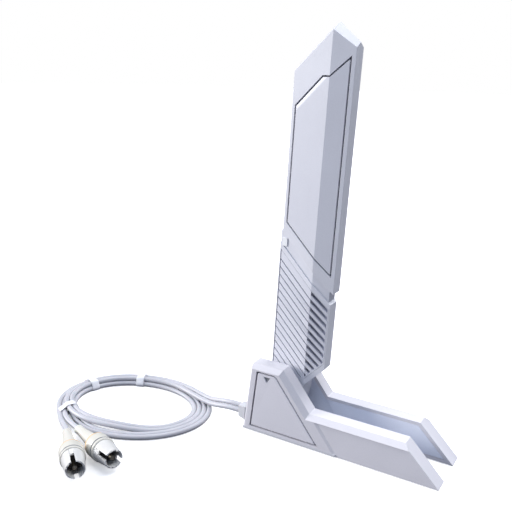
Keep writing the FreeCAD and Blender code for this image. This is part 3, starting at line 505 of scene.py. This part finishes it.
def draw_in(mesh, margin):
    """Moves a plate's edge walls inwards, which widens the groove round it."""
    work = bmesh.new()
    work.from_mesh(mesh)
    moves = {}
    for vert in work.verts:
        walls = []
        for face in vert.link_faces:
            flat = Vector((face.normal.x, 0, face.normal.z))
            if flat.length > WALL_SHARE and all(flat.normalized().dot(other) < SAME_WAY for other in walls):
                walls.append(flat.normalized())
        if walls:
            way = sum(walls[:2], Vector())
            moves[vert] = way / (1 + walls[0].dot(walls[1])) if len(walls) > 1 else way
    for vert, way in moves.items():
        vert.co -= way * margin
    work.to_mesh(mesh)
    work.free()


def is_tab(height):
    """True for a place on the front of the small tab at the lower body's neck."""
    return abs(abs(height) - TAB_FACE) < TAB_TOLERANCE


# painted highlight: the tab's flat faces across the blade are painted near-white
def paint_tab_highlight(mesh):
    for face in mesh.polygons:
        if abs(face.normal.y) > STRAIGHT_SIDEWAYS and is_tab(face.center.y):
            face.material_index = 2


def keep_tab_square(mesh):
    """Leaves only a slight rounding on the tab's edges."""
    weights = mesh.attributes["bevel_weight_edge"].data
    for edge in mesh.edges:
        if any(is_tab(mesh.vertices[index].co.y) for index in edge.vertices):
            weights[edge.index].value = TAB_ROUNDING


def spread_crease(mesh):
    """Turns the step in front of the cheek pad into a shallow slope."""
    foot, head = (point * MM for point in CREASE)
    at_foot, at_head = CREASE_SLOPE
    line = head - foot
    for vert in mesh.vertices:
        flat = Vector((vert.co.x, 0, vert.co.z))
        share = (flat - foot).dot(line) / line.length_squared
        beside = (flat - foot - line * share).length
        on_face = abs(abs(vert.co.y) - ARM_FACE) < ARM_TOLERANCE and vert.co.z > LIP_TOP
        if on_face and beside < CREASE_BESIDE and -0.1 < share < 1.1:
            vert.co.x += (at_foot + (at_head - at_foot) * share) * MM


def soft_copy(materials, node, body, slot, finish, edge, segments, shade):
    """A rounded piece that stands for a CAD node, in its finish and with painted shade on its recesses."""
    piece = new_piece(f"{node}_skin", copy_node(node, f"{node}_skin"), body)
    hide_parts(node)
    paint(piece, materials[finish], materials[shade])
    mesh = piece.data
    lower, cover = node.startswith("lower"), node.endswith("cover")
    if node.endswith("side_shell"):
        spread_crease(mesh)
    if node.endswith(("cover", "panel")):
        draw_in(mesh, GROOVE_SPREAD)
    shade_recesses(mesh, lower, COVER_SUNK if cover else SUNK)
    if lower:
        # the tab's front gets a painted highlight
        mesh.materials.append(materials["tab_plastic"])
        paint_tab_highlight(mesh)
    soften(piece, edge, segments)
    if lower:
        keep_tab_square(mesh)


# each node's body, slot, finish, rounding in millimetres, its segments, and the painted shade of its recesses
SIDE_SHELLS = {
    "{}_side_shell": ("stand", "white_plastic", "stand_plastic", SHELL_EDGE, 4, "gap"),
    "{}_inner_wall": ("stand", "white_plastic", "slot_plastic", 0.3, 3, "gap"),
    "{}_cheek_cover": ("stand", "panel_plastic", "cover_plastic", 0.3, 3, "groove"),
    "upper_{}_shell": ("blade", "white_plastic", "white_plastic", BLADE_EDGE, 3, "gap"),
    "lower_{}_shell": ("blade", "white_plastic", "white_plastic", BLADE_EDGE, 3, "slot_shade"),
    "{}_panel": ("blade", "panel_plastic", "panel_plastic", 0.3, 3, "gap"),
    "{}_rib_insert": ("blade", "rib_plastic", "rib_plastic", 0.16, 2, "rib_shade"),
}
CENTRE_SHELLS = {
    "rear_bridge": ("stand", "white_plastic", "white_plastic", 0.6, 3, "gap"),
    "bottom_plate": ("stand", "base_plastic", "base_plastic", 0.4, 2, "gap"),
    "cable_gland": ("stand", "gland", "gland", 0.8, 4, "gap"),
}


def make_shells(materials):
    for side in ("near", "far"):
        for node, details in SIDE_SHELLS.items():
            soft_copy(materials, node.format(side), *details)
    for node, details in CENTRE_SHELLS.items():
        soft_copy(materials, node, *details)


def paint_nodes(materials):
    """Every CAD node that still shows gets its own material."""
    for part in frame["record"]["subparts"]:
        node = NODES[part["node"]]
        if not node.hide_render:
            paint(node, materials[part["material_slot"]])


# ------------------------------------------------------------------------------------ bands
BAND_ANGLES = (152.0, 103.0, 217.0)
BAND_LENGTH = 4.8
TAILS_ALONG = 8.0               # how far past the coil's end the leads still follow it, in degrees
BAND_THICK = 0.3
BAND_GAP = 0.12                 # from the strands to the tape
BAND_SAG = 0.05                 # it lies this much lower than that under them, on the floor
WRAP_STEPS = 24
BAND_BOW = 0.10                 # the tape stands out this much in its middle
BAND_WRINKLE = 0.06
BAND_MIDDLE = 2.8               # height of the middle of the tied strands
FLOOR_GAP = 0.02


def band_outline(angle):
    """The strands that a band ties at an angle of the winding, as places out and up."""
    places = []
    turn = angle
    while turn < COIL_START:
        turn += 360
    while turn <= COIL_END + TAILS_ALONG:
        out, up = lane(turn)
        places += [(out, up), (out + PITCH, up)]
        turn += 360
    return places


def turns_right(first, second, third):
    """True unless the way through three points turns left."""
    (x1, y1), (x2, y2), (x3, y3) = first, second, third
    return (x2 - x1) * (y3 - y1) - (y2 - y1) * (x3 - x1) <= 0


def wrap(places, radius):
    """The taut line round circles of a radius: the hull of many points on them."""
    lowest = radius - CABLE / 2 - BAND_SAG
    points = []
    for out, up in places:
        for step in range(WRAP_STEPS):
            bearing = 2 * math.pi * step / WRAP_STEPS
            points.append((out + radius * math.cos(bearing), max(up + radius * math.sin(bearing), lowest)))
    points = sorted(set((round(x, 4), round(y, 4)) for x, y in points))

    def half(ordered):
        chain = []
        for point in ordered:
            while len(chain) > 1 and turns_right(chain[-2], chain[-1], point):
                chain.pop()
            chain.append(point)
        return chain[:-1]
    return half(points) + half(points[::-1])


def even_loop(points, count):
    """The closed line through points, as a number of evenly spaced places."""
    lengths = [math.dist(points[i], points[(i + 1) % len(points)]) for i in range(len(points))]
    whole = sum(lengths)
    places = []
    i, passed = 0, 0.0
    for step in range(count):
        target = whole * step / count
        while passed + lengths[i] < target:
            passed += lengths[i]
            i += 1
        share = (target - passed) / lengths[i]
        (x1, y1), (x2, y2) = points[i], points[(i + 1) % len(points)]
        places.append((x1 + (x2 - x1) * share, y1 + (y2 - y1) * share))
    return places


def make_band(index, angle, materials):
    """A strip of tape drawn tight round the strands."""
    around, along = 72, 9
    loop = even_loop(wrap(band_outline(angle), CABLE / 2 + BAND_GAP), around)
    bearing = math.radians(angle)
    turn = Matrix.Rotation(COIL_TURN, 3, "Z")
    mid = PITCH * 1.5
    long_way, short_way = INNER_LONG + mid, INNER_SHORT + mid
    centre = COIL_CENTRE + turn @ Vector((long_way * math.cos(bearing), short_way * math.sin(bearing), 0))
    heading = (turn @ Vector((-long_way * math.sin(bearing), short_way * math.cos(bearing), 0))).normalized()
    outward = Vector((heading.y, -heading.x, 0))
    work = bmesh.new()
    rows = []
    for row in range(along + 1):
        share = row / along - 0.5
        ring = []
        for place, (out, up) in enumerate(loop):
            wrinkle = BAND_WRINKLE * math.sin(place * 1.9 + index) * math.cos(7 * share + place * 0.7)
            bow = BAND_BOW * (1 - (2 * share) ** 2)
            point = centre + heading * (share * BAND_LENGTH) + outward * (out - mid) + Vector((0, 0, up))
            middle = centre + Vector((0, 0, BAND_MIDDLE))
            away = (point - middle - heading * (point - middle).dot(heading)).normalized()
            point += away * (bow + wrinkle)
            point.z = max(point.z, FLOOR_GAP)
            ring.append(work.verts.new(point * MM))
        rows.append(ring)
    for first, second in zip(rows, rows[1:]):
        for i in range(around):
            j = (i + 1) % around
            work.faces.new((first[i], first[j], second[j], second[i]))
    bmesh.ops.recalc_face_normals(work, faces=work.faces)
    mesh = bpy.data.meshes.new(f"coil_band_{index}")
    work.to_mesh(mesh)
    work.free()
    band = new_piece(f"coil_band_{index}", mesh, "stand")
    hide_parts("coil_bands")
    paint(band, materials["tape"])
    thick = band.modifiers.new("thickness", "SOLIDIFY")
    thick.thickness = BAND_THICK * MM
    thick.offset = 1.0
    smooth = band.modifiers.new("smooth", "SUBSURF")
    smooth.levels = smooth.render_levels = 1
    for face in mesh.polygons:
        face.use_smooth = True
    return band


# ------------------------------------------------------------------------------------ plugs
LATHE_STEPS = 72


def lathe(name, profile, pose):
    """A closed profile (along, out), in millimetres, turned about a plug's axis."""
    work = bmesh.new()
    rings = []
    for along, out in profile:
        ring = []
        for step in range(LATHE_STEPS):
            bearing = 2 * math.pi * step / LATHE_STEPS
            ring.append(work.verts.new(mm((along, out * math.cos(bearing), out * math.sin(bearing)))))
        rings.append(ring)
    for first, second in zip(rings, rings[1:] + rings[:1]):
        for i in range(LATHE_STEPS):
            j = (i + 1) % LATHE_STEPS
            work.faces.new((first[i], first[j], second[j], second[i]))
    bmesh.ops.recalc_face_normals(work, faces=work.faces)
    mesh = bpy.data.meshes.new(name)
    work.to_mesh(mesh)
    work.free()
    mesh.transform(pose)
    return mesh


def boot_profile():
    """A tapered strain relief with a soft lip at the cable and four shallow rings."""
    profile = [(0, 1.55), (0, 2.25), (0.25, 2.5), (0.7, 2.6)]
    for step in range(1, 41):
        along = 0.7 + (BOOT - 0.9) * step / 40
        share = along / BOOT
        swell = 2.55 + 1.45 * ease(share, 0.05, 1.0)
        dip = 0.16 * sum(math.exp(-((along - ring) / 0.42) ** 2) for ring in (4.0, 6.2, 8.4, 10.6))
        profile.append((along, swell - dip))
    return profile + [(BOOT + 0.3, 3.9), (BOOT + 0.3, 1.55)]


def make_plug(letter, materials):
    pose = plug_frame(letter)
    name = f"plug_{letter}"
    front = BOOT + COLLAR

    def piece(part, profile, slot, *colours):
        label = f"{name}_{part}_turned"
        made = new_piece(label, lathe(label, profile, pose), "stand")
        paint(made, *(materials[colour] for colour in colours))
        for face in made.data.polygons:
            face.use_smooth = True
        return made

    boot = piece("boot", boot_profile(), "boot", "boot")
    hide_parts(f"{name}_boot")
    ring = piece("ring", [(BOOT - 0.15, 3.6), (BOOT - 0.15, 5.9), (BOOT + 0.1, 6.35), (BOOT + 0.35, 6.5),
                          (BOOT + 1.15, 6.5), (BOOT + 1.15, 3.6)], "collar", "collar_ring")
    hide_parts(f"{name}_collar")
    shoulder = [(BOOT + 0.95, 3.2), (BOOT + 0.95, 6.3), (BOOT + 1.1, 6.55), (BOOT + 1.4, 6.66),
                (BOOT + 2.2, 6.7), (front - 2.8, 6.7), (front - 2.6, 6.62), (front - 2.55, 6.3),
                (front - 1.75, 6.3), (front - 1.7, 6.62), (front - 1.5, 6.7), (front - 0.6, 6.7),
                (front - 0.25, 6.6), (front, 6.3), (front, 3.2)]
    collar = piece("collar", shoulder, "collar", "collar", "groove")
    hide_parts(f"{name}_collar")
    # painted shade: the faces in the collar's groove are painted dark grey
    for face in collar.data.polygons:
        middle = pose.inverted() @ face.center
        radius = math.hypot(middle.y, middle.z) / MM
        if radius < 6.6 and front - 2.65 < middle.x / MM < front - 1.65:
            face.material_index = 1
    make_sleeve(letter, pose, front, materials)


SLOT_HALF, SLOT_RUN = 1.1, 7.0
SLEEVE_MIDDLE_RADIUS = 5.4
LIP_OUT, LIP_IN = 0.18, 0.12    # how much thinner the sleeve is at its mouth, outside and inside


def sleeve_radii(share):
    """The outer and inner radius along the sleeve, from its root to its mouth."""
    outer = 6.0 - 0.95 * ease(share, 0.12, 1.0)
    return outer, outer - 1.0


def make_sleeve(letter, pose, front, materials):
    """The push-on sleeve: a tapering tube with two open slots, painted dark inside as painted shade."""
    name = f"plug_{letter}_sleeve_slotted"
    around, along = 96, 28
    work = bmesh.new()
    outside, inside = [], []
    for step in range(along + 1):
        share = step / along
        outer, inner = sleeve_radii(share)
        if step == along:
            outer -= LIP_OUT
            inner += LIP_IN
        for rings, radius in ((outside, outer), (inside, inner)):
            ring = []
            for i in range(around):
                bearing = 2 * math.pi * i / around
                y, z = radius * math.cos(bearing), radius * math.sin(bearing)
                if SLOT_HALF * 0.4 < abs(y) < SLOT_HALF * 1.25:     # beside a slot, so its sides are straight
                    y = math.copysign(SLOT_HALF, y)
                ring.append(work.verts.new(mm((front + SLEEVE * share, y, z))))
            rings.append(ring)

    def in_slot(step, i):
        bearing = 2 * math.pi * (i + 0.5) / around
        in_run = step >= along - round(SLOT_RUN / SLEEVE * along)
        return in_run and abs(math.cos(bearing) * SLEEVE_MIDDLE_RADIUS) < SLOT_HALF

    for step in range(along):
        root_out, root_in = outside[step], inside[step]
        mouth_out, mouth_in = outside[step + 1], inside[step + 1]
        for i in range(around):
            if in_slot(step, i):
                continue
            j = (i + 1) % around
            work.faces.new((root_out[i], root_out[j], mouth_out[j], mouth_out[i]))
            # the inner faces get the sleeve's painted shade
            work.faces.new((root_in[i], mouth_in[i], mouth_in[j], root_in[j])).material_index = 1
            if step == along - 1 or in_slot(step + 1, i):
                work.faces.new((mouth_out[i], mouth_out[j], mouth_in[j], mouth_in[i]))
            if step == 0:
                work.faces.new((root_out[i], root_in[i], root_in[j], root_out[j]))
            if in_slot(step, j):
                work.faces.new((root_out[j], root_in[j], mouth_in[j], mouth_out[j]))
            if in_slot(step, (i - 1) % around):
                work.faces.new((root_out[i], mouth_out[i], mouth_in[i], root_in[i]))
    loose = [vert for vert in work.verts if not vert.link_faces]
    bmesh.ops.delete(work, geom=loose, context="VERTS")
    bmesh.ops.recalc_face_normals(work, faces=work.faces)
    mesh = bpy.data.meshes.new(name)
    work.to_mesh(mesh)
    work.free()
    mesh.transform(pose)
    sleeve = new_piece(name, mesh, "stand")
    paint(sleeve, materials["plug_sleeve"], materials["sleeve_inside"])
    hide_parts(f"plug_{letter}_sleeve")
    rounding = sleeve.modifiers.new("rounding", "BEVEL")
    rounding.width = 0.14 * MM
    rounding.segments = 2
    rounding.limit_method = "ANGLE"
    rounding.angle_limit = math.radians(40)
    for face in mesh.polygons:
        face.use_smooth = True


# ------------------------------------------------------------------------------------ stage
FLOOR_RADIUS = 4.0


def by_ray(tree, first, second, target):
    """Shows the second shader to the camera, and lights the model with the first."""
    path = tree.nodes.new("ShaderNodeLightPath")
    mixer = tree.nodes.new("ShaderNodeMixShader")
    tree.links.new(path.outputs["Is Camera Ray"], mixer.inputs[0])
    tree.links.new(first, mixer.inputs[1])
    tree.links.new(second, mixer.inputs[2])
    tree.links.new(mixer.outputs[0], target)


def make_floor():
    """A plain white floor that glows more with distance and throws little light back up."""
    mesh = bpy.data.meshes.new("floor")
    work = bmesh.new()
    bmesh.ops.create_circle(work, cap_ends=True, segments=96, radius=FLOOR_RADIUS)
    work.to_mesh(mesh)
    work.free()
    floor = bpy.data.objects.new("floor", mesh)
    bpy.context.collection.objects.link(floor)
    shader = Shader("floor", 0.85)
    shader.surface.inputs["Specular IOR Level"].default_value = 0.1
    base = shader.ramp(shader.noise(3, 2), [(0.3, (0.91, 0.91, 0.915)), (0.7, (0.93, 0.93, 0.935))])
    shader.surface.inputs["Emission Color"].default_value = (1, 1, 1, 1)
    place = shader.node("ShaderNodeTexCoord")
    away = shader.node("ShaderNodeVectorMath", operation="LENGTH")
    shader.link(place.outputs["Object"], away.inputs[0])
    glow = shader.node("ShaderNodeMapRange")
    for socket, value in (("From Min", 0.3), ("From Max", 0.9), ("To Min", 0.42), ("To Max", 1.1)):
        glow.inputs[socket].default_value = value
    shader.link(away.outputs["Value"], glow.inputs["Value"])
    shader.link(glow.outputs["Result"], shader.surface.inputs["Emission Strength"])
    paint(floor, shader.finish(base))
    dull = shader.node("ShaderNodeBsdfDiffuse", Color=(0.16, 0.16, 0.18, 1))
    output = shader.tree.nodes["Material Output"].inputs["Surface"]
    by_ray(shader.tree, dull.outputs[0], shader.surface.outputs[0], output)


# each light's way from the model's middle, its distance and side in metres, its power and colour
LIGHTS = {
    "key": ((-0.88, -0.42, 0.24), 1.6, 0.6, 30, (1, 0.985, 0.97)),
    "top": ((0.28, -0.10, 0.955), 1.5, 0.8, 13.5, (0.98, 0.99, 1)),
    "rear_top": ((0.15, 0.58, 0.80), 1.5, 0.9, 12, (0.98, 0.99, 1)),
    "fill": ((0.05, -0.66, 0.75), 1.6, 1.0, 4, (0.55, 0.72, 1)),
    "back": ((0.10, 0.90, 0.40), 1.6, 0.8, 9, (0.95, 0.97, 1)),
}
LIT_MIDDLE = Vector((-0.02, -0.01, 0.09))


def area_light(name, way, distance, size, power, colour):
    """A square light that faces the model's middle."""
    data = bpy.data.lights.new(name, "AREA")
    data.shape = "RECTANGLE"
    data.size = data.size_y = size
    data.energy = power
    data.color = colour
    light = bpy.data.objects.new(name, data)
    place = LIT_MIDDLE + distance * Vector(way)
    light.location = place
    light.rotation_mode = "QUATERNION"
    light.rotation_quaternion = (LIT_MIDDLE - place).to_track_quat("-Z", "Y")
    bpy.context.collection.objects.link(light)


def make_lights():
    """A softbox from the left, weaker ones above, behind and in front, and a cool, dim room."""
    world = bpy.data.worlds.new("studio")
    bpy.context.scene.world = world
    world.use_nodes = True
    tree = world.node_tree
    room = tree.nodes["Background"]
    room.inputs["Color"].default_value = (0.66, 0.76, 1.0, 1)
    room.inputs["Strength"].default_value = 0.29
    backdrop = tree.nodes.new("ShaderNodeBackground")
    backdrop.inputs["Color"].default_value = (1, 1, 1, 1)
    by_ray(tree, room.outputs[0], backdrop.outputs[0], tree.nodes["World Output"].inputs["Surface"])
    for name, details in LIGHTS.items():
        area_light(name, *details)
    view = bpy.context.scene.view_settings
    view.view_transform = "Standard"
    view.look = "None"


# ------------------------------------------------------------------------------------ make it all
make_camera()
cables = {letter: make_cord(letter) for letter in "ab"}
materials = make_materials()
for cable in cables.values():
    paint(cable, materials["cable"])
make_shells(materials)
bands = [make_band(index, angle, materials) for index, angle in enumerate(BAND_ANGLES)]
for letter in "ab":
    make_plug(letter, materials)
paint_nodes(materials)
for letter, cable in cables.items():
    joined = [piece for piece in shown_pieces() if piece.name.startswith(f"plug_{letter}")]
    if letter == "a":
        joined += [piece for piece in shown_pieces() if piece.name.startswith("cable_gland")]
        joined += bands
make_floor()
make_lights()
